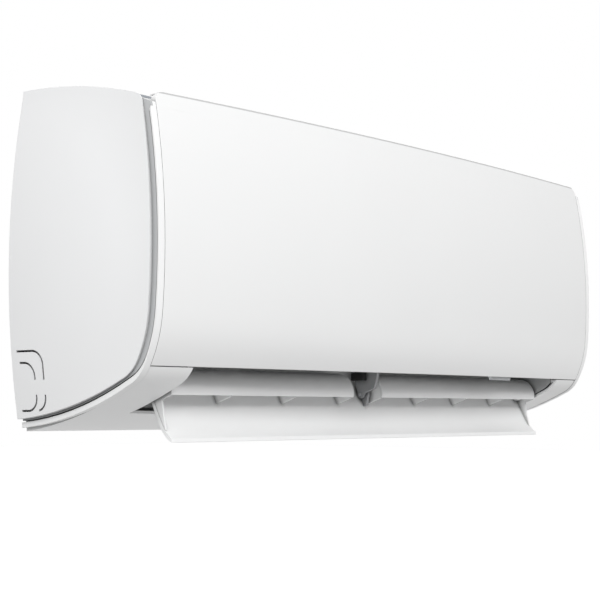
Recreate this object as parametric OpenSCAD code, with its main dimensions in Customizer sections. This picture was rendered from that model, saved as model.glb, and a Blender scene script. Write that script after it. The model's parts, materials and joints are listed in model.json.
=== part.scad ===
// Wall-mounted indoor unit of a split air conditioner.
// X runs along the unit, Y points into the wall and Z points up.
// Outlines are drawn as (depth from the wall, height above the underside).

/* [Casing] */
// Length of the front panel
panel_len = 690; // [660:1:700]
// Height of the casing above its underside, at the wall
unit_h = 300; // [296:1:306]
// Greatest depth of the front panel at its ends
face_depth = 168.3; // [167:0.1:170]
// How far the panel bows forward at mid length
bow = 14; // [6:1:18]
// Radius of the panel face, seen from the side
face_r = 620; // [560:5:700]
// Height of the deepest point of the face
face_mid_z = 150; // [145:1:155]
// Height at which the face starts to curve under
knee_z = 100; // [96:1:104]
// Radius of the curve under the face
knee_r = 110; // [105:1:118]
// Height of the seam between panel and casing
seam_z = 54.5; // [53:0.1:56]
// Radius of the casing's lower front edge
lip_r = 35; // [33:0.5:37]
// Radius of the underside, seen from the side
under_r = 428; // [410:2:446]
// Angle at which the lower front edge meets the underside
lip_end = 64; // [62:0.5:66]
// Radius of the top, seen from the side
top_r = 510; // [470:5:560]
// Wall thickness of the mouldings
wall = 2.5; // [2:0.1:2.8]
// Clearance between neighbouring pieces
gap = 0.3; // [0.2:0.05:0.35]

/* [Ends] */
// Thickness of the casing's end wall
end_wall = 4; // [3:0.1:5]
// Width of the lip around the end wall
lip_w = 1.8; // [1.2:0.1:2]
// Height of that lip
lip_h = 2.5; // [2:0.1:3]
// Width of the lip along the underside
lip_low = 4.6; // [3:0.1:5]
// Radius of the end walls' underside, which rises towards the wall
end_under_r = 372; // [366:2:384]
// Width of the dark groove inside the lip
groove_w = 1.3; // [1:0.1:1.8]
// Depth of that groove in the end wall
groove_depth = 2; // [1:0.1:2.5]
// Thickness of the grey trim in the groove
trim_t = 1.6; // [1.2:0.1:2]
// Distance from the casing's outline to the end cap's, at the front
cap_inset = 8.5; // [8:0.1:10]
// The same distance along the underside
cap_low = 7.4; // [7:0.1:9]
// Radius of the domed end caps
dome_r = 800; // [740:10:860]
// How far the dome stands out beyond the panel's end
dome_out = 24; // [22:0.5:28]
// Depth of the pipe knock-out
knock_w = 40; // [36:1:44]
// Height of the pipe knock-out
knock_h = 53; // [48:1:58]
// Height of the knock-out's lower edge
knock_z = 17.4; // [16:0.1:20]
// Width of the cut slots around the knock-out
slot_w = 1.7; // [0.8:0.1:2]

/* [Front panel] */
// Thickness of the front panel
panel_t = 3; // [2.5:0.1:3.4]
// Drop of the panel's top edge below the unit's top
panel_drop = 19; // [16:0.5:22]
// Radius of the panel's upper corners
corner_r = 9; // [6:0.5:12]
// Radius of the panel's hinge pins
hinge_r = 3; // [2.5:0.1:3.5]
// Angle through which the panel opens
panel_open = 60; // [40:1:62]

/* [Top intake] */
// Thickness of the filter frames
filter_t = 4; // [3.5:0.1:4.4]
// Front edge of the filters
filter_front = 118; // [114:1:120]
// Back edge of the filters
filter_back = 16; // [12:1:24]
// Spacing of the grille bars
bar_pitch = 12; // [10:0.5:16]

/* [Fan] */
// Outer radius of the cross-flow fan
fan_r = 46; // [43:0.5:47]
// Depth of the fan's axis
fan_d = 74; // [73:0.5:75]
// Height of the fan's axis
fan_z = 132; // [131:0.5:134]
// Number of fan blades
blades = 30; // [24:1:36]
// Number of fan segments
segments = 7; // [5:1:9]
// Radius of the fan's shafts
shaft_r = 4; // [3:0.1:5]
// Radius of the fan motor
motor_r = 42; // [38:0.5:43]
// Length of the fan motor
motor_len = 48; // [40:1:50]

/* [Outlet] */
// Half width of the air outlet
outlet_half = 298; // [290:1:302]
// Depth at which the outlet starts
outlet_back = 78; // [76:0.5:80]
// Depth of the louvre's pivot
pivot_d = 107; // [106.6:0.1:107.4]
// Height of the louvre's pivot
pivot_z = 35; // [34.8:0.1:35.4]
// Angle of the open louvre, from closed
louvre_open = 87; // [60:1:88]
// Thickness of the louvre flap
flap_t = 3; // [2.4:0.1:3.1]
// Gap at the ends of the louvre flap
flap_gap = 2; // [1.5:0.1:3]
// Thickness of the louvre's ribs
rib_t = 1.8; // [1.4:0.1:2.4]
// Radius of the louvre's pins
pin_r = 3; // [2.5:0.1:3.4]
// Spacing of the upright vanes
vane_pitch = 68; // [60:1:69]
// Thickness of the upright vanes
vane_t = 1.6; // [1.2:0.1:2.2]

/* [Cooling coil] */
// Thickness of the finned slabs
coil_t = 22; // [18:0.5:23]
// Radius of the coil's tubes
tube_r = 3.5; // [3:0.1:4]
// Radius of the liquid pipe
liquid_r = 3.175; // [3:0.005:3.3]
// Radius of the gas pipe
gas_r = 4.76; // [4.6:0.01:4.9]

/* [Wall plate] */
// Width of the mounting plate
plate_w = 460; // [440:1:480]
// Height of the mounting plate
plate_h = 200; // [192:1:206]
// Thickness of the mounting plate
plate_t = 1.2; // [1:0.1:1.6]
// Width between the outer screw holes
screw_dx = 400; // [380:1:410]
// Height between the outer screw holes
screw_dz = 140; // [130:1:150]
// Radius of the screw holes
screw_r = 2.75; // [2.5:0.05:3]

/* [Hidden] */

white = "white";
grey = "lightgrey";
half_len = panel_len / 2;
origin_z = 162;
panel_top = unit_h - panel_drop;
face_c = [face_depth - face_r, face_mid_z];
face_top = asin((unit_h + 21 - face_mid_z) / face_r);
knee_a = -asin((face_mid_z - knee_z) / face_r);
knee_c = face_c + (face_r - knee_r) * [cos(knee_a), sin(knee_a)];
seam_a = -asin((knee_c[1] - seam_z) / knee_r);
lip_c = knee_c + (knee_r - lip_r) * [cos(seam_a), sin(seam_a)];
under_c = lip_c + (lip_r - under_r) * [cos(lip_end), -sin(lip_end)];
end_c = lip_c + (lip_r - end_under_r) * [cos(lip_end), -sin(lip_end)];
step = 0.5;
shoulder = [face_depth - 26, panel_top - 4.6];
notch = [face_depth - 15.3, panel_top - 23];
bow_r = (half_len * half_len + bow * bow) / (2 * bow);
axis_y = bow_r - bow - face_depth;
end_in = half_len + 0.4;
end_out = end_in + end_wall;
cap_in = end_out + trim_t;
dome_c = half_len + dome_out - dome_r;
hinge = [face_depth - 22.3, panel_top - 10];
sill_z = panel_top - 19;
front_wall_d = face_depth - 21.3;
tray_x = half_len - 17;
fan_right = 252;
fan_left = -outlet_half + 10;
motor_x = fan_right + 16;
hub = [pivot_d, pivot_z];
flap_half = outlet_half - flap_gap;
vane_base = [50.3, 58];
vane_a = 30;
link_r = 11;
skin_end = flap_half - 2.3;
skin_left = [-skin_end, -44];
skin_right = [2.5, skin_end];
rib_x = [-219, -130, 83, 155, 229];
front_low = [133, 117];
front_high = [133, unit_h - 98];
apex = [92, unit_h - 38];
rear_low = [33, unit_h - 96];

// Points along an arc about c, from angle a0 to a1
function arc(c, r, a0, a1, n) =
    [for (i = [0:n]) c + r * [cos(a0 + (a1 - a0) * i / n), sin(a0 + (a1 - a0) * i / n)]];

// Front and underside of the casing, drawn in by a distance
function front_points(inset) = concat(
    [[-60, -60], [-60, unit_h + 40]],
    arc(face_c, face_r - inset, face_top, knee_a, 12),
    arc(knee_c, knee_r - inset, knee_a, seam_a, 6),
    arc(lip_c, lip_r - inset, seam_a, -lip_end, 6),
    arc(under_c, under_r - inset, -lip_end, -86, 12));

module front_2d(inset) {
    polygon(front_points(inset));
}

// Region below the top, lowered by a distance
module top_2d(drop) {
    translate([0, unit_h - top_r - drop]) circle(r = top_r, $fn = 200);
}

module range_2d(d0, d1, z0, z1) {
    translate([d0, z0]) square([d1 - d0, z1 - z0]);
}

// Outline of an end piece, drawn in by one distance at the front and another below
function end_points(front, low) =
    let (
        k = knee_r - front - lip_r,
        u = end_under_r - low - lip_r,
        v = end_c - knee_c,
        s = norm(v),
        a = (k * k - u * u + s * s) / (2 * s),
        c = knee_c + (a * v + sqrt(k * k - a * a) * [v[1], -v[0]]) / s,
        start = atan2(c[1] - knee_c[1], c[0] - knee_c[0]),
        end = atan2(c[1] - end_c[1], c[0] - end_c[0]))
    concat(
        [[-60, -60], [-60, unit_h + 40]],
        arc(face_c, face_r - front, face_top, knee_a, 12),
        arc(knee_c, knee_r - front, knee_a, start, 6),
        arc(c, lip_r, start, end, 6),
        arc(end_c, end_under_r - low, end, -93, 12));

// Outline of the end wall, with a sloping shoulder at its upper front corner
module end_2d(front, low) {
    intersection() {
        polygon(end_points(front, low));
        top_2d(3 + front);
        translate(shoulder) rotate(-20.5) translate([-300, -400 - front]) square([600, 400]);
        range_2d(0, 300, -10, 400);
    }
}

// Region above the slanted upper end of the lip
module notch_2d() {
    polygon([
        [-1, notch[1]], notch, notch + [5.5, 12.5], notch + [17.6, 40], [-1, notch[1] + 80],
    ]);
}

module shell_2d(outer, inner) {
    difference() {
        front_2d(outer);
        front_2d(inner);
    }
}

// Extrudes a (depth, height) outline from x0 to x1
module along_x(x0, x1) {
    translate([x0, 0, -origin_z]) rotate([90, 0, 90]) linear_extrude(x1 - x0)
        mirror([1, 0]) children();
}

// Sweeps a (depth, height) outline along the bowed front
module bowed(half) {
    sweep = 2 * asin(min(0.2, (half + 30) / bow_r));
    intersection() {
        translate([0, axis_y, -origin_z]) rotate([0, 0, -90 - sweep / 2])
            rotate_extrude(angle = sweep, $fn = 900) translate([axis_y + bow, 0]) children();
        translate([-half, -300, -origin_z - 20]) cube([2 * half, 400, unit_h + 60]);
    }
}

// Places children at a depth and height
module at(x, d, z) {
    translate([x, -d, z - origin_z]) children();
}

// Cylinder along X
module rod_x(x0, x1, d, z, r, n = 48) {
    at(x0, d, z) rotate([0, 90, 0]) cylinder(h = x1 - x0, r = r, $fn = n);
}

// Cylinder that runs out of the wall
module rod_y(x, d0, d1, z, r) {
    at(x, d0, z) rotate([90, 0, 0]) cylinder(h = d1 - d0, r = r, $fn = 48);
}

module block(x0, x1, d0, d1, z0, z1) {
    translate([x0, -d1, z0 - origin_z]) cube([x1 - x0, d1 - d0, z1 - z0]);
}

module both_ends() {
    children();
    mirror([1, 0, 0]) children();
}

// Wall plate with two hooks that carry the unit
hook_x = 150;
plate_z = 62;
hook_z = plate_z + plate_h - 6;
module mounting_plate() {
    color("silver") {
        difference() {
            block(-plate_w / 2, plate_w / 2, 0, plate_t, plate_z, plate_z + plate_h);
            for (sx = [-1, 1], sz = [-1, 1])
                rod_y(sx * screw_dx / 2, -1, plate_t + 1, origin_z + sz * screw_dz / 2, screw_r);
            for (sx = [-1, 1])
                block(sx * 75 - 45, sx * 75 + 45, -1, plate_t + 1, 100, 160);
            for (sx = [-1, 1])
                rod_y(sx * hook_x, -1, plate_t + 1, 190, 12);
        }
        for (sx = [-1, 1]) {
            block(sx * hook_x - 9, sx * hook_x + 9, plate_t, 15, hook_z, hook_z + 2);
            block(sx * hook_x - 9, sx * hook_x + 9, 13, 15, hook_z + 2, hook_z + 9);
            block(sx * hook_x - 20, sx * hook_x + 20, plate_t, 7.7, plate_z, plate_z + plate_t);
        }
    }
}

// Scroll behind the fan, from the rear trough to the outlet
scroll_r = fan_r + 7;
scroll_c = [fan_d, fan_z];
guide_r = 354;
guide_c = scroll_c + (guide_r - scroll_r) * [cos(20), sin(20)];
guide_end = 217;
module scroll_2d() {
    polygon(concat(
        arc(scroll_c, scroll_r, 128, 200, 10),
        arc(guide_c, guide_r, 200, guide_end, 8),
        arc(guide_c, guide_r + wall, guide_end, 200, 8),
        arc(scroll_c, scroll_r + wall, 200, 128, 10)));
}

// Side of the outlet duct
module duct_side_2d() {
    intersection() {
        front_2d(wall + gap);
        range_2d(33, front_wall_d - 0.5, 0, 104);
    }
}

// Chassis: back wall, scroll, rear trough, duct sides, pipe channel and motor cradle
back_d = 8;
channel_top = 54;
chassis_x = half_len - 0.2;
chassis_top = unit_h - 6;
trough_z = rear_low[1] - 18;
seat_r = motor_r + 0.2;
cradle_x = [motor_x + 4, motor_x + motor_len - 4];
module rear_chassis() {
    side_x = outlet_half;
    color(grey) difference() {
        union() {
            block(-chassis_x, chassis_x, back_d, back_d + wall, channel_top, chassis_top);
            block(-chassis_x, chassis_x, 0, back_d + 3.5, chassis_top - wall, chassis_top);
            block(-chassis_x, chassis_x, back_d, 33, channel_top, channel_top + wall);
            block(-chassis_x, chassis_x, 33 - wall, 33, 8.2, channel_top + wall);
            for (s = [-1, 1])
                block(s * (chassis_x - 1.5) - 1.5, s * (chassis_x - 1.5) + 1.5,
                      0, back_d + 1, channel_top, chassis_top);
            along_x(-side_x - wall, fan_right + 6.5) scroll_2d();
            along_x(fan_right + 6, side_x + wall) intersection() {
                scroll_2d();
                range_2d(0, 200, -10, fan_z - 1);
            }
            block(-side_x - wall, side_x + wall, back_d, 42, trough_z - wall, trough_z);
            block(-side_x - wall, side_x + wall, 39.5, 42, fan_z + 40, trough_z + 8);
            along_x(-side_x - wall, -side_x) union() {
                duct_side_2d();
                range_2d(back_d, 117, channel_top, trough_z + 4);
            }
            along_x(side_x, side_x + wall) duct_side_2d();
            along_x(fan_right + 4, fan_right + 6.5) difference() {
                range_2d(back_d, 117, channel_top, trough_z + 4);
                translate(hub) circle(r = 40, $fn = 64);
            }
            block(cradle_x[0], cradle_x[1], back_d, 132, 80, fan_z - 1);
            for (x = box_x)
                block(x - 1.2, x + 1.2, back_d, box_d[0] - gap, 178, box_z[1]);
        }
        rod_x(motor_x, motor_x + motor_len, fan_d, fan_z, seat_r);
        for (d = clamp_d)
            at((cradle_x[0] + cradle_x[1]) / 2, d, fan_z - 14) cylinder(h = 20, r = 2.05, $fn = 32);
        for (s = [-1, 1])
            block(s * hook_x - 14, s * hook_x + 14, 7, 12, hook_z - 12, hook_z + 2.3);
        rod_x(-side_x - wall - 1, -side_x + 1, fan_d, fan_z, bearing_r + 0.05);
        rod_x(fan_right + 3, fan_right + 8, fan_d, fan_z, 13);
        rod_x(-side_x - wall - 1, -side_x + 1, pivot_d, pivot_z, pin_r + 0.05);
        rod_x(side_x - 1, side_x + wall + 1, pivot_d, pivot_z, 5.3);
        rod_x(-side_x - wall - 1, -side_x + 1, spout_d, spout_z, 8.3);
        for (i = [1:8])
            vane_frame(i) cylinder(h = 8, r = 2.25, center = true, $fn = 32);
        block(riser_x[1] - 10, riser_x[0] + 8, back_d + wall, 30,
              channel_top - 1, channel_top + wall + 1);
        block(box_x[0] - 3, box_x[0] + 3, 26, 54, box_z[0] + 16, box_z[0] + 48);
        for (s = [-1, 1])
            at(louvre_motor_x, pivot_d - 2.6 + s * 17, pivot_z + 7.6) rotate([0, 90, 0])
                cylinder(h = 30, r = 1.5, center = true, $fn = 24);
    }
}

// Front casing: underside, end walls, front wall and the ledge around the top
sill_d = front_wall_d - 13;
module front_frame() {
    frame_x = end_in + 0.2;
    color(white) difference() {
        union() {
            bowed(frame_x) intersection() {
                shell_2d(step, step + wall);
                range_2d(0, 300, -10, seam_z - 0.2);
            }
            both_ends() {
                along_x(end_in, end_in + 1.2) intersection() {
                    front_2d(step);
                    range_2d(0, 300, -10, seam_z);
                }
                along_x(end_in, end_out) end_2d(0, 0);
                along_x(end_out, end_out + lip_h) difference() {
                    end_2d(0, 0);
                    end_2d(lip_w, lip_low);
                    notch_2d();
                }
            }
            block(-frame_x, frame_x, front_wall_d, front_wall_d + wall, 58, sill_z);
            intersection() {
                bowed(frame_x) intersection() {
                    front_2d(panel_t + 0.6);
                    range_2d(0, 300, 56, 58.4);
                }
                block(-frame_x, frame_x, front_wall_d, 250, 50, 60);
            }
            both_ends() block(outlet_half + 0.6, frame_x, front_wall_d, front_wall_d + 2,
                              50.5, 58.2);
            intersection() {
                bowed(frame_x) intersection() {
                    front_2d(0.5);
                    range_2d(0, 300, 51.8, seam_z - 0.3);
                }
                block(-frame_x, frame_x, front_wall_d, 250, 50, 60);
            }
            block(-frame_x, frame_x, sill_d, front_wall_d + wall, sill_z - wall, sill_z);
            block(-frame_x, frame_x, sill_d, sill_d + wall, sill_z - wall, panel_top - 3);
            along_x(-frame_x, frame_x) intersection() {
                difference() {
                    top_2d(3);
                    top_2d(3 + wall);
                }
                union() {
                    range_2d(filter_front + 2, sill_d + wall, unit_h - 50, panel_top + 0.6);
                    range_2d(0, filter_back - 2, unit_h - 50, 400);
                }
            }
            both_ends() along_x(tray_x + 2, frame_x) intersection() {
                difference() {
                    top_2d(3);
                    top_2d(3 + wall);
                }
                range_2d(0, sill_d + wall, unit_h - 50, 400);
            }
            both_ends() along_x(tray_x + 2, tray_x + 4) intersection() {
                difference() {
                    top_2d(3);
                    top_2d(14);
                }
                range_2d(12, sill_d + wall, unit_h - 50, 400);
            }
            both_ends() block(hinge_x + 5, hinge_x + 9, front_wall_d - 1,
                              hinge[0] + 6, hinge[1] - 14, hinge[1] + 5);
        }
        block(-outlet_half, outlet_half, outlet_back, 400, -20, 56);
        both_ends() rod_x(hinge_x + 4, hinge_x + 10, hinge[0], hinge[1], hinge_r + 0.05);
        both_ends() block(end_in - 1, end_out + 1, -1, 28, 20, 50);
        both_ends() along_x(end_out - groove_depth, end_out + 1) difference() {
            end_2d(lip_w, lip_low);
            end_2d(lip_w + groove_w, lip_low + groove_w);
            notch_2d();
        }
        for (x = screw_x)
            rod_y(x, front_wall_d - 1, front_wall_d + wall + 1, screw_z, 2.15);
        block(receiver_x - 22.4, receiver_x + 22.4, front_wall_d - 2, 400, 55, 92);
    }
}
screw_x = [-200, 0, 260];
screw_z = 80;
hinge_x = half_len - 20;

// Fixed bars under the filters
module top_grille() {
    grille_x = tray_x + 1.7;
    color(grey) intersection() {
        along_x(-grille_x, grille_x) difference() {
            top_2d(filter_t + 0.4);
            top_2d(filter_t + 4.4);
        }
        union() {
            for (d = [filter_back + 1 : bar_pitch : filter_front - 2])
                block(-grille_x, grille_x, d, d + 2, unit_h - 60, unit_h + 20);
            for (x = [-grille_x : grille_x / 4 : grille_x])
                block(max(x, 1 - grille_x) - 1, min(x, grille_x - 1) + 1,
                      filter_back + 1, filter_front - 1, unit_h - 60, unit_h + 20);
        }
    }
}

// Front panel, hinged near its top edge
module front_panel() {
    color(white) difference() {
        union() {
            intersection() {
                union() {
                    bowed(half_len) union() {
                        intersection() {
                            shell_2d(0, panel_t);
                            range_2d(0, 300, seam_z + 0.5, panel_top);
                        }
                        intersection() {
                            shell_2d(0.5, 9);
                            range_2d(0, 300, panel_top - 2.4, panel_top);
                        }
                    }
                    both_ends() along_x(half_len - wall, half_len) intersection() {
                        shell_2d(0.1, 7);
                        range_2d(front_wall_d + wall + 0.5, 300, seam_z + 6, panel_top - 1);
                    }
                }
                translate([0, -100, -origin_z]) rotate([90, 0, 0]) linear_extrude(120)
                    panel_front_2d();
            }
            both_ends() {
                block(hinge_x, hinge_x + 4, hinge[0] - 4, hinge[0] + 13,
                      hinge[1] - 4, hinge[1] + 4);
                rod_x(hinge_x, hinge_x + 9, hinge[0], hinge[1], hinge_r);
            }
        }
        bowed(half_len + 4) difference() {
            front_2d(-30);
            front_2d(0);
        }
    }
}

// Front view of the panel, with rounded upper corners
module panel_front_2d() {
    top = panel_top - corner_r;
    translate([-half_len, 0]) square([2 * half_len, top]);
    translate([-half_len + corner_r, 0]) square([2 * (half_len - corner_r), panel_top]);
    for (s = [-1, 1])
        translate([s * (half_len - corner_r), top]) circle(r = corner_r, $fn = 48);
}

// Outline of the end cap
module cap_2d(inset) {
    intersection() {
        offset(r = 12, $fn = 40) offset(delta = -12 - inset) intersection() {
            polygon(end_points(cap_inset, cap_low));
            top_2d(0);
        }
        range_2d(0, 300, -10, 400);
    }
}

// Knock-out outline, drawn in by a distance
module knock_2d(w, h, inset) {
    range_2d(-10, w - 13, knock_z + inset, knock_z + h - inset);
    range_2d(-10, w - inset, knock_z + 13, knock_z + h - 13);
    for (z = [knock_z + 13, knock_z + h - 13])
        translate([w - 13, z]) circle(r = 13 - inset, $fn = 48);
}

module knock_ring_2d(w, h, top_d, low_d) {
    difference() {
        knock_2d(w, h, 0);
        knock_2d(w, h, slot_w);
        range_2d(-10, 60, 32, 45);
        range_2d(-10, top_d, 45, 100);
        range_2d(-10, low_d, 0, 32);
    }
}

// Dome of the end cap: a spherical crown that flattens towards the corners
dome_turn = 9.4;
dome_flat_r = 470;
dome_edge = dome_c + dome_r;
module dome(inset) {
    turn = dome_r * sin(dome_turn);
    drop = dome_r * (1 - cos(dome_turn));
    low_a = 1.2;
    crown = [for (i = [0:14]) let (a = dome_turn * i / 14)
        [dome_r * sin(a), dome_edge - inset - dome_r * (1 - cos(a))]];
    flat = [for (i = [1:10]) let (a = dome_turn - (dome_turn - low_a) * i / 10)
        [turn + dome_flat_r * (sin(dome_turn) - sin(a)),
         dome_edge - inset - drop - dome_flat_r * (cos(a) - cos(dome_turn))]];
    far = flat[9];
    at(0, 0, face_mid_z) rotate([0, 90, 0]) rotate_extrude($fn = 160)
        polygon(concat([[0, 340]], crown, flat, [[240, far[1]], [240, 340]]));
}

module right_end_cap() {
    color(white) difference() {
        intersection() {
            along_x(cap_in, half_len + dome_out + 1) cap_2d(0);
            dome(0);
        }
        intersection() {
            along_x(cap_in - 1, half_len + dome_out + 1) intersection() {
                cap_2d(wall);
                range_2d(wall, 300, -10, 400);
            }
            dome(wall);
        }
        along_x(cap_in - 1, half_len + dome_out + 2) {
            knock_ring_2d(knock_w, knock_h, 7, 29.5);
            knock_ring_2d(knock_w - 11, knock_h - 10, 10, 7.5);
        }
    }
}

module left_end_cap() {
    mirror([1, 0, 0]) right_end_cap();
}

module right_groove_trim() {
    color("darkgrey") along_x(end_out, cap_in) difference() {
        union() {
            end_2d(lip_w + groove_w, lip_low + groove_w);
            intersection() {
                end_2d(gap, gap);
                translate([-gap, gap]) notch_2d();
            }
        }
        intersection() {
            front_2d(cap_inset + 12);
            top_2d(cap_inset + 12);
            range_2d(12, 300, 26, 400);
        }
        range_2d(-1, 28, 20, 50);
    }
}

module left_groove_trim() {
    mirror([1, 0, 0]) right_groove_trim();
}

// Curved filter trays in the top intake, which lift straight out
tab_z = unit_h - 17.2;
bay_n = 4;
bay_w = (tray_x - 7) / bay_n;
module right_filter_frame() {
    color(grey) difference() {
        union() {
            along_x(2, tray_x) intersection() {
                difference() {
                    top_2d(0);
                    top_2d(filter_t);
                }
                range_2d(filter_back, filter_front, 200, 400);
            }
            block(tray_x / 2 - 14, tray_x / 2 + 14, filter_front - 3, filter_front + 5,
                  tab_z, tab_z + 2.5);
        }
        for (i = [0:bay_n - 1])
            along_x(7 + i * bay_w, 2 + (i + 1) * bay_w)
                range_2d(filter_back + 6, filter_front - 6, 200, 400);
    }
}

module left_filter_frame() {
    mirror([1, 0, 0]) right_filter_frame();
}

module right_filter_mesh() {
    color("dimgrey") for (i = [0:bay_n - 1])
        along_x(7.1 + i * bay_w, 1.9 + (i + 1) * bay_w) intersection() {
            difference() {
                top_2d(filter_t / 2);
                top_2d(filter_t / 2 + 0.6);
            }
            range_2d(filter_back + 6.1, filter_front - 6.1, 200, 400);
        }
}

module left_filter_mesh() {
    mirror([1, 0, 0]) right_filter_mesh();
}

// Cooling coil in three finned slabs over the fan
coil_left = -outlet_half + 8;
coil_right = fan_right - 4;
front_len = norm(front_high - front_low);
upper_len = norm(apex - front_high);
rear_len = norm(apex - rear_low);

// Slab between two points, square at its ends
module slab_2d(p, q, short_p, short_q) {
    v = q - p;
    translate(p) rotate(atan2(v[1], v[0])) translate([short_p, -coil_t / 2])
        square([norm(v) - short_p - short_q, coil_t]);
}

// Tube centres along a slab, on one side of its middle
function tube_row(p, q, n, side, lead, last) = [
    for (i = [0:n - 1])
        let (v = (q - p) / norm(q - p))
        p + v * (lead + (last - lead) * i / (n - 1)) + side * coil_t / 4 * [-v[1], v[0]]
];
function flipped(row) = [for (i = [len(row) - 1:-1:0]) row[i]];
tubes = concat(
    tube_row(rear_low, apex, 4, 1, 10, rear_len - 26),
    flipped(tube_row(front_high, apex, 3, -1, 23, upper_len - 14)),
    flipped(tube_row(front_low, front_high, 4, -1, 10, front_len - 10)),
    tube_row(front_low, front_high, 4, 1, 10, front_len - 10),
    tube_row(front_high, apex, 3, 1, 23, upper_len - 14),
    flipped(tube_row(rear_low, apex, 4, -1, 10, rear_len - 26)));

module tube_holes_2d(r) {
    for (p = tubes)
        translate(p) circle(r = r, $fn = 24);
}

module coil_fins_front() {
    color("lightsteelblue") along_x(coil_left, coil_right) difference() {
        slab_2d(front_low, front_high, 0, 0);
        tube_holes_2d(tube_r + 0.05);
    }
}

module coil_fins_upper() {
    color("lightsteelblue") along_x(coil_left, coil_right) difference() {
        slab_2d(front_high, apex, 13, 4);
        tube_holes_2d(tube_r + 0.05);
    }
}

module coil_fins_rear() {
    color("lightsteelblue") along_x(coil_left, coil_right) difference() {
        slab_2d(rear_low, apex, 0, 17);
        tube_holes_2d(tube_r + 0.05);
    }
}

// Return bend between two tube centres, a little wider than the tubes that it takes
socket_t = 0.2;
socket_in = 1;
module return_bend(a, b, x, side) {
    v = b - a;
    m = (a + b) / 2;
    at(x, m[0], m[1]) rotate([atan2(v[1], -v[0]), 0, 0]) rotate([0, 0, side > 0 ? -90 : 90])
        rotate_extrude(angle = 180, $fn = 24) translate([norm(v) / 2, 0])
            circle(r = tube_r + socket_t, $fn = 16);
}

module coil_tubes() {
    left = coil_left - 2;
    right = coil_right + 2;
    last = len(tubes) - 1;
    color("peru") union() {
        for (i = [0:last])
            rod_x(left - socket_in, right + (i == 0 || i == last ? 8 : socket_in),
                  tubes[i][0], tubes[i][1], tube_r, 16);
        for (i = [0:2:last - 1])
            return_bend(tubes[i], tubes[i + 1], left, -1);
        for (i = [1:2:last - 2])
            return_bend(tubes[i], tubes[i + 1], right, 1);
    }
}

module coil_end_plates() {
    color("silver") for (x = [coil_left - 1.4, coil_right + 0.2])
        along_x(x, x + 1.2) difference() {
            union() {
                slab_2d(front_low, front_high, 0, 0);
                slab_2d(front_high, apex, -4, 4);
                slab_2d(rear_low, apex, 0, 0);
            }
            tube_holes_2d(tube_r + 0.05);
        }
}

// Refrigerant pipe: along the channel, up behind the motor and across to the coil
bend_r = 8.5;
pipe_d = 17;
pipe_left = [-110, -84];
riser_x = [half_len - 15, half_len - 27];
module pipe_bend(r) {
    rotate_extrude(angle = 90, $fn = 64) translate([bend_r, 0]) circle(r = r + socket_t, $fn = 32);
}

module pipe_run(x0, x1, z0, r, p) {
    over = socket_in - bend_r;
    rod_x(x0, x1 + over, pipe_d, z0, r);
    at(x1 - bend_r, pipe_d, z0 + bend_r) rotate([90, 0, 0]) rotate([0, 0, -90]) pipe_bend(r);
    at(x1, pipe_d, z0 - over) cylinder(h = p[1] - z0 + 2 * over, r = r, $fn = 32);
    at(x1, pipe_d + bend_r, p[1] - bend_r) rotate([90, 0, -90]) rotate([0, 0, 90]) pipe_bend(r);
    rod_y(x1, pipe_d - over, p[0] + over, p[1], r);
    at(x1 - bend_r, p[0] - bend_r, p[1]) rotate([0, 0, -90]) pipe_bend(r);
    rod_x(coil_right + 10.1, x1 + over, p[0], p[1], r);
}
liquid_z = 22;
gas_z = 41;

module liquid_pipe() {
    color("peru") pipe_run(pipe_left[0], riser_x[0], liquid_z, liquid_r, tubes[21]);
}

module gas_pipe() {
    color("peru") pipe_run(pipe_left[1], riser_x[1], gas_z, gas_r, tubes[0]);
}

module flare_nuts() {
    color("gold") {
        difference() {
            at(pipe_left[0] - 8, pipe_d, liquid_z) rotate([0, 90, 0]) cylinder(h = 17, r = 9.6, $fn = 6);
            rod_x(pipe_left[0] - 1, pipe_left[0] + 10, pipe_d, liquid_z, liquid_r + 0.05);
            rod_x(pipe_left[0] - 9, pipe_left[0], pipe_d, liquid_z, 6.2);
        }
        difference() {
            at(pipe_left[1] - 10, pipe_d, gas_z) rotate([0, 90, 0]) cylinder(h = 20, r = 12.5, $fn = 6);
            rod_x(pipe_left[1] - 1, pipe_left[1] + 11, pipe_d, gas_z, gas_r + 0.05);
            rod_x(pipe_left[1] - 11, pipe_left[1], pipe_d, gas_z, 8.6);
        }
    }
}

// Clamp that holds both pipes against the channel's front wall
module pipe_clamp() {
    color(grey) difference() {
        block(100, 118, 5, 30.3, 12, 53);
        rod_x(99, 119, pipe_d, liquid_z, liquid_r + 0.05);
        rod_x(99, 119, pipe_d, gas_z, gas_r + 0.05);
    }
}

// Front drain pan, whose sloping underside is the roof of the outlet duct
spout_d = front_low[0];
spout_z = front_low[1] - 14;
pan_x = [-outlet_half + 0.3, fan_right + 3.7];
pan_floor = front_low[1] - 4;
pan_inner = [front_low[0] - coil_t / 2 - 0.8, front_low[0] + coil_t / 2 + 0.8];
module drain_pan() {
    color("whitesmoke") difference() {
        union() {
            along_x(pan_x[0], pan_x[1]) polygon([
                [fan_d + 41.5, fan_z - 28], [front_wall_d - 3, 61],
                [front_wall_d - 0.3, 61], [front_wall_d - 0.3, pan_floor + 15],
                [pan_inner[1], pan_floor + 15], [pan_inner[1], pan_floor],
                [pan_inner[0], pan_floor], [pan_inner[0], pan_floor + 3],
                [pan_inner[0] - 2.7, pan_floor + 3],
            ]);
            for (x = [pan_x[0], pan_x[1] - 2])
                along_x(x, x + 2)
                    range_2d(pan_inner[0] - 2.2, pan_inner[1] + 1, pan_floor - 1, pan_floor + 3);
        }
        for (s = [0, 1]) {
            rod_x(pan_x[s] - 12, pan_x[s] + 12, spout_d, spout_z, 5);
            at(pan_x[s] + (s == 0 ? 8 : -8), spout_d, spout_z) cylinder(h = 12, r = 3.5, $fn = 32);
        }
        for (x = screw_x)
            rod_y(x, 135, 150, screw_z, 2.05);
    }
}

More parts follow.
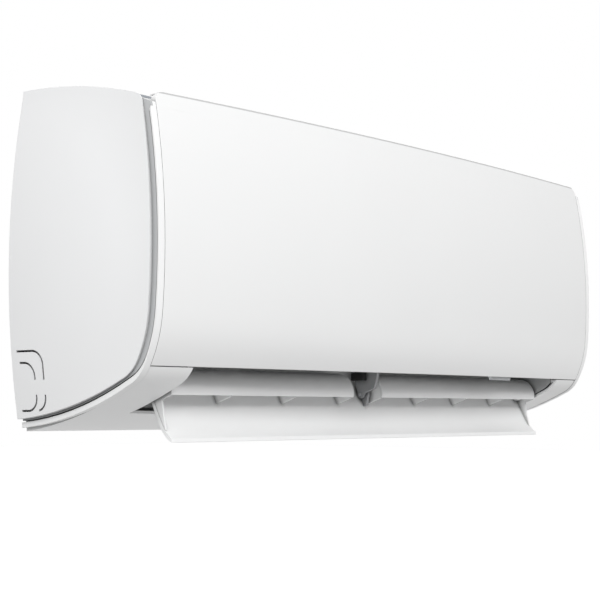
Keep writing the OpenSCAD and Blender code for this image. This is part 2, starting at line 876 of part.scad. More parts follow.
module drain_spout() {
    color(grey) difference() {
        union() {
            rod_x(pan_x[0] - 24, pan_x[0] - 0.1, spout_d, spout_z, 8);
            rod_x(pan_x[0] - 0.2, pan_x[0] + 3, spout_d, spout_z, 4.95);
        }
        rod_x(pan_x[0] - 25, pan_x[0] + 4, spout_d, spout_z, 3.8);
    }
}

module drain_plug() {
    color("dimgrey") union() {
        rod_x(pan_x[1] - 3, pan_x[1] + 0.2, spout_d, spout_z, 4.95);
        rod_x(pan_x[1] + 0.1, pan_x[1] + 3, spout_d, spout_z, 7);
    }
}

// Cross-flow fan with curved blades between rings
ring_t = 2;
module cross_flow_fan() {
    pitch = (fan_right - fan_left - ring_t) / segments;
    inner = fan_r - 9;
    color("slategrey") at(fan_left, fan_d, fan_z) rotate([90, 0, 90]) difference() {
        union() {
            for (i = [0:blades - 1])
                rotate(i * 360 / blades) linear_extrude(fan_right - fan_left) polygon(concat(
                    [for (t = [0:4]) (inner + (fan_r - 1 - inner) * t / 4)
                        * [cos(2.2 * t + 0.5 * t * t / 4), sin(2.2 * t + 0.5 * t * t / 4)]],
                    [for (t = [4:-1:0]) (inner + (fan_r - 1 - inner) * t / 4)
                        * [cos(2.2 * t + 0.5 * t * t / 4 + 1.6), sin(2.2 * t + 0.5 * t * t / 4 + 1.6)]]));
            for (i = [0:segments])
                translate([0, 0, i * pitch]) linear_extrude(ring_t) difference() {
                    circle(r = fan_r, $fn = 96);
                    circle(r = inner - 1.5, $fn = 96);
                }
            cylinder(h = ring_t, r = inner, $fn = 96);
            cylinder(h = 10, r = 9, $fn = 48);
            translate([0, 0, fan_right - fan_left - ring_t]) cylinder(h = ring_t, r = inner, $fn = 96);
            translate([0, 0, fan_right - fan_left - 20]) cylinder(h = 20, r = 11, $fn = 48);
        }
        translate([0, 0, -1]) cylinder(h = 12, r = shaft_r + 0.02, $fn = 32);
        translate([0, 0, fan_right - fan_left - 21]) cylinder(h = 22, r = shaft_r + 0.02, $fn = 32);
        translate([0, 0, fan_right - fan_left - 10]) rotate([0, -90, 0])
            cylinder(h = 14, r = 1.55, $fn = 24);
    }
}

module fan_stub_shaft() {
    color("silver") rod_x(-outlet_half - wall - 4, fan_left + 10, fan_d, fan_z, shaft_r);
}

bearing_r = 12;
module fan_bearing() {
    color("dimgrey") difference() {
        union() {
            rod_x(-outlet_half - wall - 3, -outlet_half + 0.5, fan_d, fan_z, bearing_r);
            rod_x(-outlet_half + 0.3, -outlet_half + 2.3, fan_d, fan_z, bearing_r + 3);
        }
        rod_x(-outlet_half - wall - 4, -outlet_half + 3, fan_d, fan_z, shaft_r + 0.05);
    }
}

module fan_motor() {
    color("silver") difference() {
        union() {
            rod_x(motor_x, motor_x + motor_len, fan_d, fan_z, motor_r);
            rod_x(motor_x - 4, motor_x + 1, fan_d, fan_z, 12);
        }
        rod_x(motor_x - 5, motor_x + 12, fan_d, fan_z, shaft_r + 0.05);
    }
}

module motor_shaft() {
    color("silver") rod_x(fan_right - 19.5, motor_x + 11, fan_d, fan_z, shaft_r);
}

// Strap over the motor, with a foot on each side of the cradle
clamp_d = [24, 124.5];
clamp_x = [cradle_x[0] + 10, cradle_x[1] - 10];
module motor_clamp() {
    color(grey) difference() {
        union() {
            intersection() {
                rod_x(clamp_x[0], clamp_x[1], fan_d, fan_z, motor_r + 3.2);
                block(clamp_x[0], clamp_x[1], 0, 200, fan_z - 0.7, 300);
            }
            for (s = [-1, 1])
                block(clamp_x[0], clamp_x[1], fan_d + s * 50.5 - 7.5, fan_d + s * 50.5 + 7.5,
                      fan_z - 0.7, fan_z + 2);
        }
        rod_x(clamp_x[0] - 1, clamp_x[1] + 1, fan_d, fan_z, seat_r);
        for (d = clamp_d)
            at((cradle_x[0] + cradle_x[1]) / 2, d, fan_z - 10) cylinder(h = 20, r = 2.2, $fn = 32);
    }
}

module hub_screw() {
    color("silver") rod_y(fan_right - 10, fan_d + shaft_r + 0.2, fan_d + 11.5, fan_z, 1.5);
}

// Frame of one upright vane: Z runs along its pivot and -Y with the air
function vane_x(i) =
    (i <= 4 ? 36 - outlet_half + (i - 1) * vane_pitch : 10 + (i - 5) * vane_pitch);
module vane_frame(i) {
    at(vane_x(i), vane_base[0], vane_base[1]) rotate([90 - vane_a, 0, 0]) children();
}

module vane(i) {
    color(grey) vane_frame(i) {
        rotate([0, -90, 0]) linear_extrude(vane_t, center = true) polygon([
            [1.5, 9], [1.5, -13], [22, -13], [44, -9], [44, 3], [22, 9],
            [16, 9], [16, 6], [10.5, 6], [10.5, 12.5], [8, 12.5], [8, 9],
        ]);
        translate([0, 0, -2.6]) cylinder(h = 4.2, r = 2.2, $fn = 32);
        translate([0, 0, 0.4]) cylinder(h = 1.6, r = 4, $fn = 32);
        translate([0, link_r, 8]) cylinder(h = 2.5, r = 1.5, $fn = 24);
        translate([0, link_r, 10.4]) cylinder(h = 4, r = 1.2, $fn = 24);
    }
}

module link_bar(first) {
    color(grey) difference() {
        vane_frame(first) translate([-9, 6.4, 10.9]) cube([3 * vane_pitch + 18, 8, 2]);
        for (i = [first:first + 3])
            vane_frame(i) translate([-1.7, 7.6, 10]) cube([3.4, 5.3, 4]);
    }
}

module left_link_bar() {
    link_bar(1);
}

module right_link_bar() {
    link_bar(5);
}

// Turns the closed louvre's outline to its open position
module opened() {
    translate(hub) rotate(-louvre_open) translate(-hub) children();
}

skin_r = 20;
skin_t = 2;
module louvre_rib_2d(r) {
    intersection() {
        translate(hub) circle(r = r, $fn = 96);
        front_2d(flap_t - 0.5);
        polygon([[60, 0], [60, 80], [111.2, 80], [111.2, 54], [117.9, 31], [119, 0]]);
    }
}

// End cheek: it closes the skin's end and runs on down the flap
module louvre_cheek_2d() {
    louvre_rib_2d(skin_r);
    intersection() {
        translate(hub)
            polygon([[4, -12], [7.4, 8], [20.5, 9], [34, 11.5], [34, -5], [4, -15]]);
        front_2d(flap_t - 0.5);
    }
}

module louvre_flap() {
    ribs = concat(rib_x, [skin_left[1] - rib_t, skin_right[0]]);
    color(white) difference() {
        union() {
            along_x(-flap_half, flap_half) opened() intersection() {
                shell_2d(0, flap_t);
                range_2d(outlet_back + 1.6, 300, 0, seam_z - 1.1);
            }
            for (x = ribs)
                along_x(x, x + rib_t) opened() louvre_rib_2d(skin_r - skin_t - 0.1);
            both_ends() along_x(skin_end + 0.05, skin_end + rib_t) opened() louvre_cheek_2d();
            rod_x(-outlet_half - wall, -skin_end - 0.1, pivot_d, pivot_z, pin_r);
            rod_x(skin_right[1] - 8, skin_right[1] + 2, pivot_d, pivot_z, 4.4);
        }
        rod_x(skin_right[1] - 7, skin_right[1] + 3, pivot_d, pivot_z, 2.55);
    }
}

// Rounded upper skin of the louvre, over the ribs
module skin_2d() {
    intersection() {
        translate(hub) difference() {
            circle(r = skin_r, $fn = 96);
            circle(r = skin_r - skin_t, $fn = 96);
        }
        front_2d(flap_t + 0.05);
        polygon(concat([hub], arc(hub, 60, 78, 225, 6)));
    }
}

module louvre_skin_left() {
    color(white) along_x(skin_left[0], skin_left[1]) opened() skin_2d();
}

module louvre_skin_right() {
    color(white) along_x(skin_right[0], skin_right[1]) opened() skin_2d();
}

// Lug of the louvre that turns on the middle pin
lug_x = [-4, -0.5];
bracket_x = [-8, -4.4];
pin_mid_r = 1.75;
module louvre_hub() {
    color("dimgrey") difference() {
        intersection() {
            union() {
                rod_x(lug_x[0], lug_x[1], pivot_d, pivot_z, 6.5);
                along_x(lug_x[0], lug_x[1]) opened() translate(hub)
                    polygon([[0, 6.3], [10, 4], [13, -2], [0, -8], [-3, -8], [-6.2, 0]]);
            }
            along_x(lug_x[0] - 1, lug_x[1] + 1) opened() front_2d(flap_t + 0.05);
        }
        rod_x(lug_x[0] - 1, lug_x[1] + 1, pivot_d, pivot_z, pin_mid_r + 0.05);
    }
}

module louvre_pin() {
    color("silver") rod_x(bracket_x[0] - 0.2, lug_x[1] + 0.2, pivot_d, pivot_z, pin_mid_r);
}

// Fixed arm that carries the middle pin, hung from the duct's roof
module louvre_bracket() {
    color("grey") difference() {
        union() {
            rod_x(bracket_x[0], bracket_x[1], pivot_d, pivot_z, 4);
            along_x(bracket_x[0], bracket_x[1]) polygon([
                [103.4, 34], [103.4, 37.5], [100.4, 47], [99.6, 60], [112.5, 97.5], [117.4, 100.5],
                [131.2, 79.7], [129, 60], [127, 50], [124, 41], [112, 36.5], [110.3, 33.2],
            ]);
        }
        rod_x(bracket_x[0] - 1, bracket_x[1] + 1, pivot_d, pivot_z, pin_mid_r + 0.02);
    }
}

module bracket_pad() {
    color("black") block(bracket_x[0] - 6, bracket_x[0] - 0.1, 99.9, 115, 49, 57);
}

louvre_motor_x = outlet_half + wall + gap;
module louvre_motor() {
    color("silver") difference() {
        union() {
            rod_x(louvre_motor_x, louvre_motor_x + 19, pivot_d - 2.6, pivot_z + 7.6, 10);
            block(louvre_motor_x, louvre_motor_x + 1.2, pivot_d - 23.6, pivot_d + 18.4,
                  pivot_z + 4.1, pivot_z + 11.1);
        }
        rod_x(louvre_motor_x - 1, louvre_motor_x + 9, pivot_d, pivot_z, 2.55);
        for (s = [-1, 1])
            at(louvre_motor_x, pivot_d - 2.6 + s * 17, pivot_z + 7.6) rotate([0, 90, 0])
                cylinder(h = 8, r = 1.6, center = true, $fn = 24);
    }
}

module louvre_motor_shaft() {
    color("silver") rod_x(skin_right[1] - 6.8, louvre_motor_x + 8, pivot_d, pivot_z, 2.5);
}

// Control box beside the coil, with its board, terminals and cover
box_x = [286, 340];
box_d = [60.3, front_wall_d - 7];
box_z = [unit_h - 120, unit_h - 44];
module control_box() {
    color(grey) difference() {
        block(box_x[0] - 2, box_x[1] + 2, box_d[0], box_d[1], box_z[0], box_z[1]);
        block(box_x[0], box_x[1], box_d[0] + 2, box_d[1] + 1, box_z[0] + 2, box_z[1] - 2);
        for (z = [box_z[0] + 16 : 10 : box_z[0] + 36])
            block(box_x[0] - 3, box_x[0] + 1, box_d[0] + 13.7, box_d[1] - 36, z, z + 3);
    }
}

board_d = box_d[0] + 13.3;
module circuit_board() {
    low = box_z[0] + 4;
    high = box_z[1] - 4;
    color("green") union() {
        block(box_x[0] + 0.4, box_x[1] - 0.4, board_d - 1.6, board_d, low, high);
        block(box_x[0] + 4, box_x[0] + 26, board_d - 0.1, board_d + 24.4, low + 4, low + 30);
        rod_y(box_x[1] - 14, board_d - 0.1, board_d + 26, low + 16, 9);
        block(box_x[1] - 24, box_x[1] - 6, board_d - 0.1, board_d + 16.4, low + 32, low + 48);
        block(box_x[0] + 6, box_x[0] + 16, board_d - 0.1, board_d + 10.4, low + 38, high - 6);
        for (x = [box_x[0] + 4, box_x[1] - 4], z = [low + 3, high - 3])
            rod_y(x, box_d[0] + 2.1, board_d - 1.5, z, 2.5);
    }
}

terminal_d = box_d[1] - 22;
module terminal_block() {
    color("white") difference() {
        block(box_x[0] + 8, box_x[1] - 8, terminal_d - 10, terminal_d + 10,
              box_z[0] + 2.2, box_z[0] + 16);
        for (i = [0:3])
            at(box_x[0] + 14 + i * 9, terminal_d, box_z[0] + 8) cylinder(h = 10, r = 2.6, $fn = 32);
        for (i = [0:3])
            rod_y(box_x[0] + 14 + i * 9, terminal_d - 18, terminal_d - 2, box_z[0] + 6, 2);
    }
}

module control_cover() {
    color(grey) union() {
        block(box_x[0] - 2, box_x[1] + 2, box_d[1] + 0.1, box_d[1] + 2, box_z[0], box_z[1]);
        block(box_x[0] + 0.4, box_x[1] - 0.4, box_d[1] - 4, box_d[1] + 1, box_z[0] + 2.3, box_z[0] + 4);
        block(box_x[0] + 0.4, box_x[1] - 0.4, box_d[1] - 4, box_d[1] + 1, box_z[1] - 4, box_z[1] - 2.3);
    }
}

// Signal receiver, its window at the outlet's upper edge and the manual button
receiver_x = 175;
button_x = receiver_x + 8;
button_r = 3;
button_travel = 1.5;
module receiver_housing() {
    color(grey) difference() {
        block(receiver_x - 22, receiver_x + 22, front_wall_d + 0.1, front_wall_d + 4, 56.6, 91);
        rod_y(button_x, front_wall_d - 1, front_wall_d + 6, screw_z, button_r + 0.05);
        rod_y(receiver_x - 12, front_wall_d + 2.5, front_wall_d + 6, screw_z, 3);
    }
}

module receiver_window() {
    color("white") union() {
        at(receiver_x, 154, 0) rotate([90, 0, 0]) linear_extrude(4.2)
            polygon([[-21.5, 58], [-17, 51.6], [17, 51.6], [21.5, 58]]);
        block(receiver_x - 14, receiver_x + 14, front_wall_d + 4.1, 155, 56.6, 60);
    }
}

module emergency_button() {
    color("white") union() {
        rod_y(button_x, front_wall_d + 1.4, front_wall_d + 6.5, screw_z, button_r);
        rod_y(button_x, front_wall_d + 5.8, front_wall_d + 7, screw_z, button_r + 1);
    }
}

module casing_screws() {
    color("silver") for (x = screw_x)
        difference() {
            union() {
                rod_y(x, 136, front_wall_d + wall + 0.2, screw_z, 2);
                rod_y(x, front_wall_d + wall + 0.05, front_wall_d + wall + 2, screw_z, 4);
            }
            block(x - 3, x + 3, front_wall_d + wall + 1, 160, screw_z - 0.5, screw_z + 0.5);
            block(x - 0.5, x + 0.5, front_wall_d + wall + 1, 160, screw_z - 3, screw_z + 3);
        }
}

module motor_screws() {
    color("silver") {
        for (d = clamp_d) {
            at((cradle_x[0] + cradle_x[1]) / 2, d, fan_z - 13) cylinder(h = 15.2, r = 2, $fn = 32);
            at((cradle_x[0] + cradle_x[1]) / 2, d, fan_z + 2.05) cylinder(h = 2, r = 3.8, $fn = 32);
        }
        for (s = [-1, 1]) {
            rod_x(outlet_half + 0.2, louvre_motor_x + 1.4, pivot_d - 2.6 + s * 17, pivot_z + 7.6, 1.45);
            rod_x(louvre_motor_x + 1.25, louvre_motor_x + 2.8, pivot_d - 2.6 + s * 17, pivot_z + 7.6, 3);
        }
    }
}

mounting_plate();
rear_chassis();
front_frame();
top_grille();
front_panel();
left_end_cap();
right_end_cap();
left_groove_trim();
right_groove_trim();
left_filter_frame();
right_filter_frame();
left_filter_mesh();
right_filter_mesh();
coil_fins_front();
coil_fins_upper();
coil_fins_rear();
coil_tubes();
coil_end_plates();
liquid_pipe();
gas_pipe();
flare_nuts();
pipe_clamp();
drain_pan();
drain_spout();
drain_plug();
cross_flow_fan();
fan_stub_shaft();
fan_bearing();
fan_motor();
motor_shaft();
motor_clamp();
hub_screw();
vane(1);  // vane_1
vane(2);  // vane_2
vane(3);  // vane_3
vane(4);  // vane_4
vane(5);  // vane_5
vane(6);  // vane_6
vane(7);  // vane_7
vane(8);  // vane_8
left_link_bar();
right_link_bar();
louvre_flap();
louvre_skin_left();
louvre_skin_right();
louvre_hub();
louvre_pin();
louvre_bracket();
bracket_pad();
louvre_motor();
louvre_motor_shaft();
control_box();
circuit_board();
terminal_block();
control_cover();
receiver_housing();
receiver_window();
emergency_button();
casing_screws();
motor_screws();
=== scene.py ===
import json
import math

import bmesh
import bpy
from mathutils import Matrix, Vector

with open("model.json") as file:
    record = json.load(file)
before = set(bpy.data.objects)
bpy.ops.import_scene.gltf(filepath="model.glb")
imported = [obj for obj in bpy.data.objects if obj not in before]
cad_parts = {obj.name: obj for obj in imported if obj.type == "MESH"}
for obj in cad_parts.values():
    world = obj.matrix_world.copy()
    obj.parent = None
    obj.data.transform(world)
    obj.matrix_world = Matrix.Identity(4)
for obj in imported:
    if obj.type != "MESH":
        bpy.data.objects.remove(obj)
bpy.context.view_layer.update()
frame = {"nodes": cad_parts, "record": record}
nodes = frame["nodes"]

# Camera, matched to the photograph
PITCH, YAW = math.radians(4.382), math.radians(50)
CAMERA_PLACE = (-1.17576, -1.00769, -0.14464)
CAMERA_LENS, CAMERA_SENSOR = 87.694, 36
forward = Vector((math.sin(YAW) * math.cos(PITCH), math.cos(YAW) * math.cos(PITCH), math.sin(PITCH)))
right = Vector((math.cos(YAW), -math.sin(YAW), 0))
up = right.cross(forward)
cam_data = bpy.data.cameras.new("camera")
cam = bpy.data.objects.new("camera", cam_data)
bpy.context.scene.collection.objects.link(cam)
cam.matrix_world = Matrix((
    (right.x, up.x, -forward.x, CAMERA_PLACE[0]),
    (right.y, up.y, -forward.y, CAMERA_PLACE[1]),
    (right.z, up.z, -forward.z, CAMERA_PLACE[2]),
    (0, 0, 0, 1)))
cam_data.sensor_width = CAMERA_SENSOR
cam_data.lens = CAMERA_LENS
cam_data.clip_start, cam_data.clip_end = 0.05, 60
bpy.context.scene.camera = cam
bpy.context.scene.view_settings.view_transform = "Standard"


# Materials
EDGE_RADIUS = 0.0006
# Reach of the painted shade in creases and narrow gaps
PAINTED_SHADE_REACH = 0.005
GRAIN_DEPTH = 0.0003


def new_material(name):
    m = bpy.data.materials.new(name)
    m.use_nodes = True
    nt = m.node_tree
    for n in list(nt.nodes):
        nt.nodes.remove(n)
    out = nt.nodes.new("ShaderNodeOutputMaterial")
    bsdf = nt.nodes.new("ShaderNodeBsdfPrincipled")
    nt.links.new(bsdf.outputs[0], out.inputs[0])
    return m, nt, bsdf


# Adds a shader node. A value named in_X goes to the input with that name or number
def add(nt, kind, **values):
    n = nt.nodes.new(kind)
    for k, v in values.items():
        if k.startswith("in_"):
            key = k[3:]
            n.inputs[int(key) if key.isdigit() else key].default_value = v
        else:
            setattr(n, k, v)
    return n


# Coordinates that ride with the object, stretched along its axes
def coords(nt, scale=(1, 1, 1)):
    tc = add(nt, "ShaderNodeTexCoord")
    mp = add(nt, "ShaderNodeMapping", in_3=scale)
    nt.links.new(tc.outputs["Object"], mp.inputs[0])
    return mp.outputs[0]


# Colour that runs from lo to hi while the source runs from a to b
def ramp(nt, src, lo, hi, a=0.0, b=1.0):
    r = add(nt, "ShaderNodeValToRGB")
    r.color_ramp.interpolation = "EASE"
    r.color_ramp.elements[0].position = a
    r.color_ramp.elements[0].color = (*lo, 1)
    r.color_ramp.elements[1].position = b
    r.color_ramp.elements[1].color = (*hi, 1)
    nt.links.new(src, r.inputs[0])
    return r.outputs[0]


# Value that runs from lo to hi while the source runs from a to b
def span(nt, src, lo, hi, a=0.3, b=0.7):
    n = add(nt, "ShaderNodeMapRange", in_1=a, in_2=b, in_3=lo, in_4=hi)
    nt.links.new(src, n.inputs[0])
    return n.outputs[0]


# Lighter or darker tone of a colour
def tint(c, k):
    return tuple(max(0, min(1, v * k)) for v in c)


# Moulded plastic: fine grain, faint cloudy tone, slightly varied gloss, and painted shade that darkens
# the colour in creases and narrow gaps
def plastic(name, color, rough=0.4, grain=0.04, grain_scale=1800, vary=0.02, coat=0.0, spec=0.5):
    m, nt, b = new_material(name)
    v = coords(nt)
    cloud = add(nt, "ShaderNodeTexNoise", in_Scale=9.0, in_Detail=3.0)
    fine = add(nt, "ShaderNodeTexNoise", in_Scale=float(grain_scale), in_Detail=2.0)
    nt.links.new(v, cloud.inputs[0])
    nt.links.new(v, fine.inputs[0])
    col = ramp(nt, cloud.outputs[0], tint(color, 1 - vary), tint(color, 1 + vary), 0.15, 0.85)
    # Painted shade: ambient occlusion darkens the colour in creases and narrow gaps
    painted_crease_shade = add(nt, "ShaderNodeAmbientOcclusion", samples=6, in_Distance=PAINTED_SHADE_REACH)
    nt.links.new(col, painted_crease_shade.inputs["Color"])
    nt.links.new(painted_crease_shade.outputs["Color"], b.inputs["Base Color"])
    nt.links.new(span(nt, cloud.outputs[0], rough - 0.04, rough + 0.05, 0.0, 1.0), b.inputs["Roughness"])
    bump = add(nt, "ShaderNodeBump", in_Strength=grain, in_Distance=GRAIN_DEPTH)
    edge = add(nt, "ShaderNodeBevel", samples=6, in_Radius=EDGE_RADIUS)
    nt.links.new(edge.outputs[0], bump.inputs["Normal"])
    nt.links.new(fine.outputs[0], bump.inputs["Height"])
    nt.links.new(bump.outputs[0], b.inputs["Normal"])
    b.inputs["Specular IOR Level"].default_value = spec
    if coat:
        b.inputs["Coat Weight"].default_value = coat
        b.inputs["Coat Roughness"].default_value = 0.12
    return m


# Metal with drawn or rolled streaks along one axis
def metal(name, color, rough=0.32, streak=(4, 260, 260), vary=0.1, bump_k=0.06):
    m, nt, b = new_material(name)
    v = coords(nt, streak)
    n = add(nt, "ShaderNodeTexNoise", in_Scale=12.0, in_Detail=4.0)
    nt.links.new(v, n.inputs[0])
    spots = add(nt, "ShaderNodeTexNoise", in_Scale=40.0, in_Detail=2.0)
    nt.links.new(coords(nt), spots.inputs[0])
    col = ramp(nt, n.outputs[0], tint(color, 1 - vary), tint(color, 1 + vary), 0.3, 0.7)
    nt.links.new(col, b.inputs["Base Color"])
    nt.links.new(span(nt, spots.outputs[0], rough - 0.08, rough + 0.1), b.inputs["Roughness"])
    bump = add(nt, "ShaderNodeBump", in_Strength=bump_k, in_Distance=0.0002)
    nt.links.new(n.outputs[0], bump.inputs["Height"])
    nt.links.new(bump.outputs[0], b.inputs["Normal"])
    b.inputs["Metallic"].default_value = 1.0
    return m


# Galvanised sheet: crystal patches
def galvanised(name, color):
    m, nt, b = new_material(name)
    vor = add(nt, "ShaderNodeTexVoronoi", in_Scale=160.0)
    nt.links.new(coords(nt), vor.inputs["Vector"])
    sep = add(nt, "ShaderNodeSeparateColor")
    nt.links.new(vor.outputs["Color"], sep.inputs[0])
    col = ramp(nt, sep.outputs[0], tint(color, 0.86), tint(color, 1.06))
    nt.links.new(col, b.inputs["Base Color"])
    nt.links.new(span(nt, sep.outputs[1], 0.32, 0.5, 0.0, 1.0), b.inputs["Roughness"])
    b.inputs["Metallic"].default_value = 1.0
    return m


# Packed thin fins, seen as fine stripes across the unit's length; the dark stripes are painted shade in
# the gaps between the fins
def fins_with_painted_gap_shade(name, color):
    m, nt, b = new_material(name)
    w = add(nt, "ShaderNodeTexWave", bands_direction="X", in_Scale=105.0)
    nt.links.new(coords(nt), w.inputs[0])
    col = ramp(nt, w.outputs[1], tint(color, 0.16), tint(color, 1.0), 0.35, 0.75)
    nt.links.new(col, b.inputs["Base Color"])
    bump = add(nt, "ShaderNodeBump", in_Strength=0.8, in_Distance=0.0006)
    nt.links.new(w.outputs[1], bump.inputs["Height"])
    nt.links.new(bump.outputs[0], b.inputs["Normal"])
    b.inputs["Metallic"].default_value = 0.85
    b.inputs["Roughness"].default_value = 0.42
    return m


# Woven filter net: dark threads with light gaps
def net(name, color):
    m, nt, b = new_material(name)
    v = coords(nt)
    waves = []
    for d in ("X", "Y"):
        w = add(nt, "ShaderNodeTexWave", bands_direction=d, in_Scale=160.0)
        nt.links.new(v, w.inputs[0])
        waves.append(w)
    mx = add(nt, "ShaderNodeMath", operation="MAXIMUM")
    nt.links.new(waves[0].outputs[1], mx.inputs[0])
    nt.links.new(waves[1].outputs[1], mx.inputs[1])
    col = ramp(nt, mx.outputs[0], tint(color, 0.35), tint(color, 1.3), 0.5, 0.9)
    nt.links.new(col, b.inputs["Base Color"])
    bump = add(nt, "ShaderNodeBump", in_Strength=0.6, in_Distance=0.0004)
    nt.links.new(mx.outputs[0], bump.inputs["Height"])
    nt.links.new(bump.outputs[0], b.inputs["Normal"])
    b.inputs["Roughness"].default_value = 0.8
    return m


# Lacquered board with copper tracks under the lacquer
def board(name, color):
    m, nt, b = new_material(name)
    br = add(nt, "ShaderNodeTexBrick", in_Scale=60.0, in_Color1=(*tint(color, 1.0), 1),
             in_Color2=(*tint(color, 0.8), 1), in_Mortar=(*tint(color, 1.9), 1))
    br.inputs["Mortar Size"].default_value = 0.03
    tc = add(nt, "ShaderNodeTexCoord")
    mp = add(nt, "ShaderNodeMapping")
    mp.inputs[2].default_value = (math.radians(90), 0, 0)
    nt.links.new(tc.outputs["Object"], mp.inputs[0])
    nt.links.new(mp.outputs[0], br.inputs[0])
    nt.links.new(br.outputs[0], b.inputs["Base Color"])
    b.inputs["Roughness"].default_value = 0.3
    return m


M = {
    "zinc_steel": galvanised("zinc_steel", (0.6, 0.61, 0.62)),
    "chassis_plastic": plastic("chassis_plastic", (0.5, 0.51, 0.51), 0.5, 0.06),
    "casing_white": plastic("casing_white", (0.92, 0.923, 0.923), 0.42, 0.03),
    "panel_white": plastic("panel_white", (0.85, 0.853, 0.853), 0.3, 0.012, vary=0.006, coat=0.15),
    "cap_white": plastic("cap_white", (0.88, 0.885, 0.89), 0.42, 0.03, vary=0.01),
    "groove_grey": plastic("groove_grey", (0.56, 0.57, 0.58), 0.45, 0.04),
    "filter_frame": plastic("filter_frame", (0.32, 0.34, 0.37), 0.5, 0.06),
    "filter_mesh": net("filter_mesh", (0.12, 0.125, 0.14)),
    "fin_aluminium": fins_with_painted_gap_shade("fin_aluminium", (0.62, 0.68, 0.74)),
    "copper": metal("copper", (0.72, 0.38, 0.22), 0.3),
    "nut_brass": metal("nut_brass", (0.74, 0.56, 0.24), 0.28, (200, 8, 8)),
    "clamp_plastic": plastic("clamp_plastic", (0.6, 0.6, 0.58), 0.5, 0.06),
    "pan_foam_white": plastic("pan_foam_white", (0.7, 0.7, 0.69), 0.6, 0.12, 900),
    "spout_grey": plastic("spout_grey", (0.45, 0.45, 0.45), 0.5, 0.06),
    "plug_rubber": plastic("plug_rubber", (0.03, 0.03, 0.032), 0.7, 0.1, vary=0.1),
    "fan_grey": plastic("fan_grey", (0.1, 0.115, 0.135), 0.45, 0.06, vary=0.06),
    "shaft_steel": metal("shaft_steel", (0.62, 0.63, 0.65), 0.25, (260, 6, 6)),
    "bearing_rubber": plastic("bearing_rubber", (0.025, 0.025, 0.027), 0.7, 0.12, vary=0.1),
    "motor_case": galvanised("motor_case", (0.62, 0.63, 0.64)),
    "vane_plastic": plastic("vane_plastic", (0.16, 0.165, 0.175), 0.45, 0.06, vary=0.05),
    "louvre_white": plastic("louvre_white", (0.94, 0.943, 0.943), 0.3, 0.015, vary=0.006, coat=0.1),
    "louvre_inner": plastic("louvre_inner", (0.93, 0.933, 0.935), 0.34, 0.03),
    "bracket_grey": plastic("bracket_grey", (0.38, 0.385, 0.395), 0.42, 0.06, vary=0.05),
    # pad_black: near-black pad set where the bracket lies in shade under the panel's edge; its black is
    # painted shade
    "pad_black": plastic("pad_black", (0.02, 0.02, 0.02), 0.7, 0.12, vary=0.1),
    "box_plastic": plastic("box_plastic", (0.52, 0.52, 0.5), 0.5, 0.06),
    "board_green": board("board_green", (0.02, 0.11, 0.05)),
    "terminal_black": plastic("terminal_black", (0.03, 0.03, 0.033), 0.5, 0.08, vary=0.08),
    "lens_smoke": plastic("lens_smoke", (0.6, 0.62, 0.64), 0.15, 0.01, coat=0.5),
    "button_white": plastic("button_white", (0.84, 0.84, 0.84), 0.25, 0.02, coat=0.3),
}


# Painted shade: a grey line along the upper edge of the panel, where its rounded edge turns away from
# the light
EDGE_SHADE_FADE = 0.6


def paint_edge_shade(m, top, width, tone):
    nt = m.node_tree
    painted_crease_shade = [n for n in nt.nodes if n.type == "AMBIENT_OCCLUSION"][0]
    source = painted_crease_shade.inputs["Color"].links[0].from_socket
    tc = add(nt, "ShaderNodeTexCoord")
    sep = add(nt, "ShaderNodeSeparateXYZ")
    nt.links.new(tc.outputs["Object"], sep.inputs[0])
    level = add(nt, "ShaderNodeMapRange", in_1=top - width, in_2=top - EDGE_SHADE_FADE * width,
                in_3=1.0, in_4=tone)
    nt.links.new(sep.outputs["Z"], level.inputs[0])
    scaled = add(nt, "ShaderNodeVectorMath", operation="SCALE")
    nt.links.new(source, scaled.inputs[0])
    nt.links.new(level.outputs[0], scaled.inputs["Scale"])
    nt.links.new(scaled.outputs[0], painted_crease_shade.inputs["Color"])


front_panel = nodes["front_panel"]
panel_top = max((front_panel.matrix_world @ v.co).z for v in front_panel.data.vertices)
# Painted shade: the panel's colour falls to 0.62 in a band 1.8 mm deep at its top
paint_edge_shade(M["panel_white"], panel_top, width=0.0018, tone=0.62)

slots = {s["node"]: s["material_slot"] for s in frame["record"]["subparts"]}
for name, o in nodes.items():
    o.data.materials.clear()
    o.data.materials.append(M[slots[name]])
    for p in o.data.polygons:
        p.material_index = 0


# Even shading across neighbouring faces that meet at a shallow angle
PLACES_PER_METRE = 2e5
SAME_NORMAL = 0.99999


def smooth(o, angle=32):
    me = o.data
    me.polygons.foreach_set("use_smooth", [True] * len(me.polygons))
    given = [c.vector.copy() for c in me.corner_normals]
    groups = {}
    for k, loop in enumerate(me.loops):
        co = me.vertices[loop.vertex_index].co
        place = tuple(round(c * PLACES_PER_METRE) for c in co)
        groups.setdefault(place, []).append(k)
    limit = math.cos(math.radians(angle))
    result = list(given)
    for ks in groups.values():
        kinds = []
        for k in ks:
            if all(given[k].dot(q) < SAME_NORMAL for q in kinds):
                kinds.append(given[k])
        if len(kinds) == 1:
            continue
        for k in ks:
            total = Vector((0, 0, 0))
            for q in kinds:
                if given[k].dot(q) > limit:
                    total += q
            result[k] = total.normalized()
    me.normals_split_custom_set(result)


# Floor, light and background
FLOOR_HEIGHT, FLOOR_SIZE = -1.1, 30
FLOOR_TONE = (0.64, 0.64, 0.64)
NEAR, FAR = 1.2, 4.0
NEAR_GLOW = 0.3
WORLD_LIGHT = 0.42


# 1 for rays that see the background straight, in a mirror or through glass
def background_rays(nt):
    path = add(nt, "ShaderNodeLightPath")
    total = path.outputs["Is Camera Ray"]
    for key in ("Is Glossy Ray", "Is Transmission Ray"):
        m = add(nt, "ShaderNodeMath", operation="MAXIMUM")
        nt.links.new(total, m.inputs[0])
        nt.links.new(path.outputs[key], m.inputs[1])
        total = m.outputs[0]
    return total


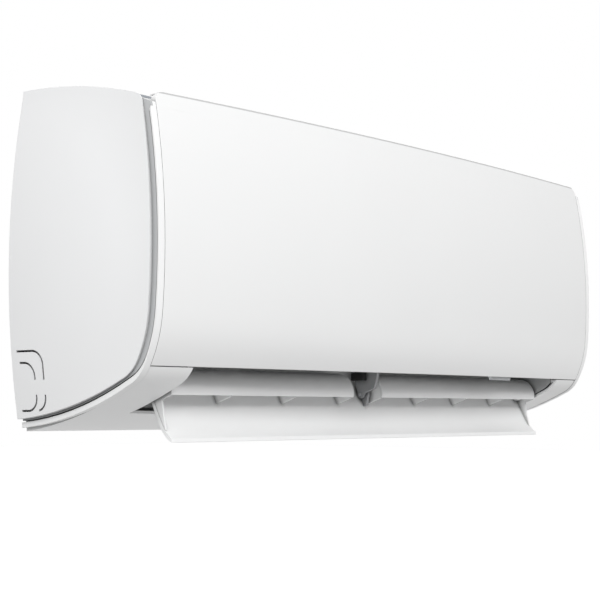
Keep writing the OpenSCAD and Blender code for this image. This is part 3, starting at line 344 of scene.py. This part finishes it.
# Floor that takes the object's shadow near it and runs out to white
def stage_plane(name, size, z, color):
    me = bpy.data.meshes.new(name)
    bm = bmesh.new()
    bmesh.ops.create_grid(bm, x_segments=8, y_segments=8, size=size)
    bm.to_mesh(me)
    bm.free()
    o = bpy.data.objects.new(name, me)
    o.location = (0, 0, z)
    bpy.context.scene.collection.objects.link(o)
    m, nt, b = new_material(name + "_paint")
    noise = add(nt, "ShaderNodeTexNoise", in_Scale=3.0)
    nt.links.new(coords(nt), noise.inputs[0])
    nt.links.new(ramp(nt, noise.outputs[0], tint(color, 0.99), tint(color, 1.0)), b.inputs["Base Color"])
    b.inputs["Roughness"].default_value = 0.9
    b.inputs["Specular IOR Level"].default_value = 0.1
    out = [n for n in nt.nodes if n.type == "OUTPUT_MATERIAL"][0]
    tc = add(nt, "ShaderNodeTexCoord")
    far = add(nt, "ShaderNodeVectorMath", operation="LENGTH")
    nt.links.new(tc.outputs["Object"], far.inputs[0])
    level = add(nt, "ShaderNodeMapRange", interpolation_type="SMOOTHSTEP",
                in_1=NEAR, in_2=FAR, in_3=NEAR_GLOW, in_4=1.0)
    nt.links.new(far.outputs["Value"], level.inputs[0])
    seen = add(nt, "ShaderNodeMath", operation="MULTIPLY")
    nt.links.new(background_rays(nt), seen.inputs[0])
    nt.links.new(level.outputs[0], seen.inputs[1])
    glow = add(nt, "ShaderNodeEmission", in_0=(1, 1, 1, 1))
    nt.links.new(seen.outputs[0], glow.inputs[1])
    both = add(nt, "ShaderNodeAddShader")
    nt.links.new(b.outputs[0], both.inputs[0])
    nt.links.new(glow.outputs[0], both.inputs[1])
    nt.links.new(both.outputs[0], out.inputs[0])
    me.materials.append(m)
    return o


stage_plane("floor", FLOOR_SIZE, FLOOR_HEIGHT, FLOOR_TONE)

world = bpy.data.worlds.new("studio")
bpy.context.scene.world = world
world.use_nodes = True
wn = world.node_tree
for n in list(wn.nodes):
    wn.nodes.remove(n)
w_out = wn.nodes.new("ShaderNodeOutputWorld")
w_light = add(wn, "ShaderNodeBackground", in_0=(1, 1, 1, 1), in_1=WORLD_LIGHT)
w_white = add(wn, "ShaderNodeBackground", in_0=(1, 1, 1, 1), in_1=1.0)
w_mix = wn.nodes.new("ShaderNodeMixShader")
wn.links.new(background_rays(wn), w_mix.inputs[0])
wn.links.new(w_light.outputs[0], w_mix.inputs[1])
wn.links.new(w_white.outputs[0], w_mix.inputs[2])
wn.links.new(w_mix.outputs[0], w_out.inputs[0])


# Soft rectangular lamp, turned towards a target
def lamp(name, loc, target, size, power):
    d = bpy.data.lights.new(name, "AREA")
    d.shape = "RECTANGLE"
    d.size, d.size_y = size
    d.energy = power
    o = bpy.data.objects.new(name, d)
    o.location = loc
    o.rotation_mode = "QUATERNION"
    o.rotation_quaternion = (Vector(target) - Vector(loc)).to_track_quat("-Z", "Y")
    bpy.context.scene.collection.objects.link(o)
    return o


lamp("key", (-0.6, -2.9, 1.7), (0, -0.1, -0.05), (2.4, 1.3), 55)
lamp("left", (-2.4, -1.0, 1.3), (-0.2, 0, 0), (1.6, 1.6), 35)

for name, o in nodes.items():
    smooth(o)
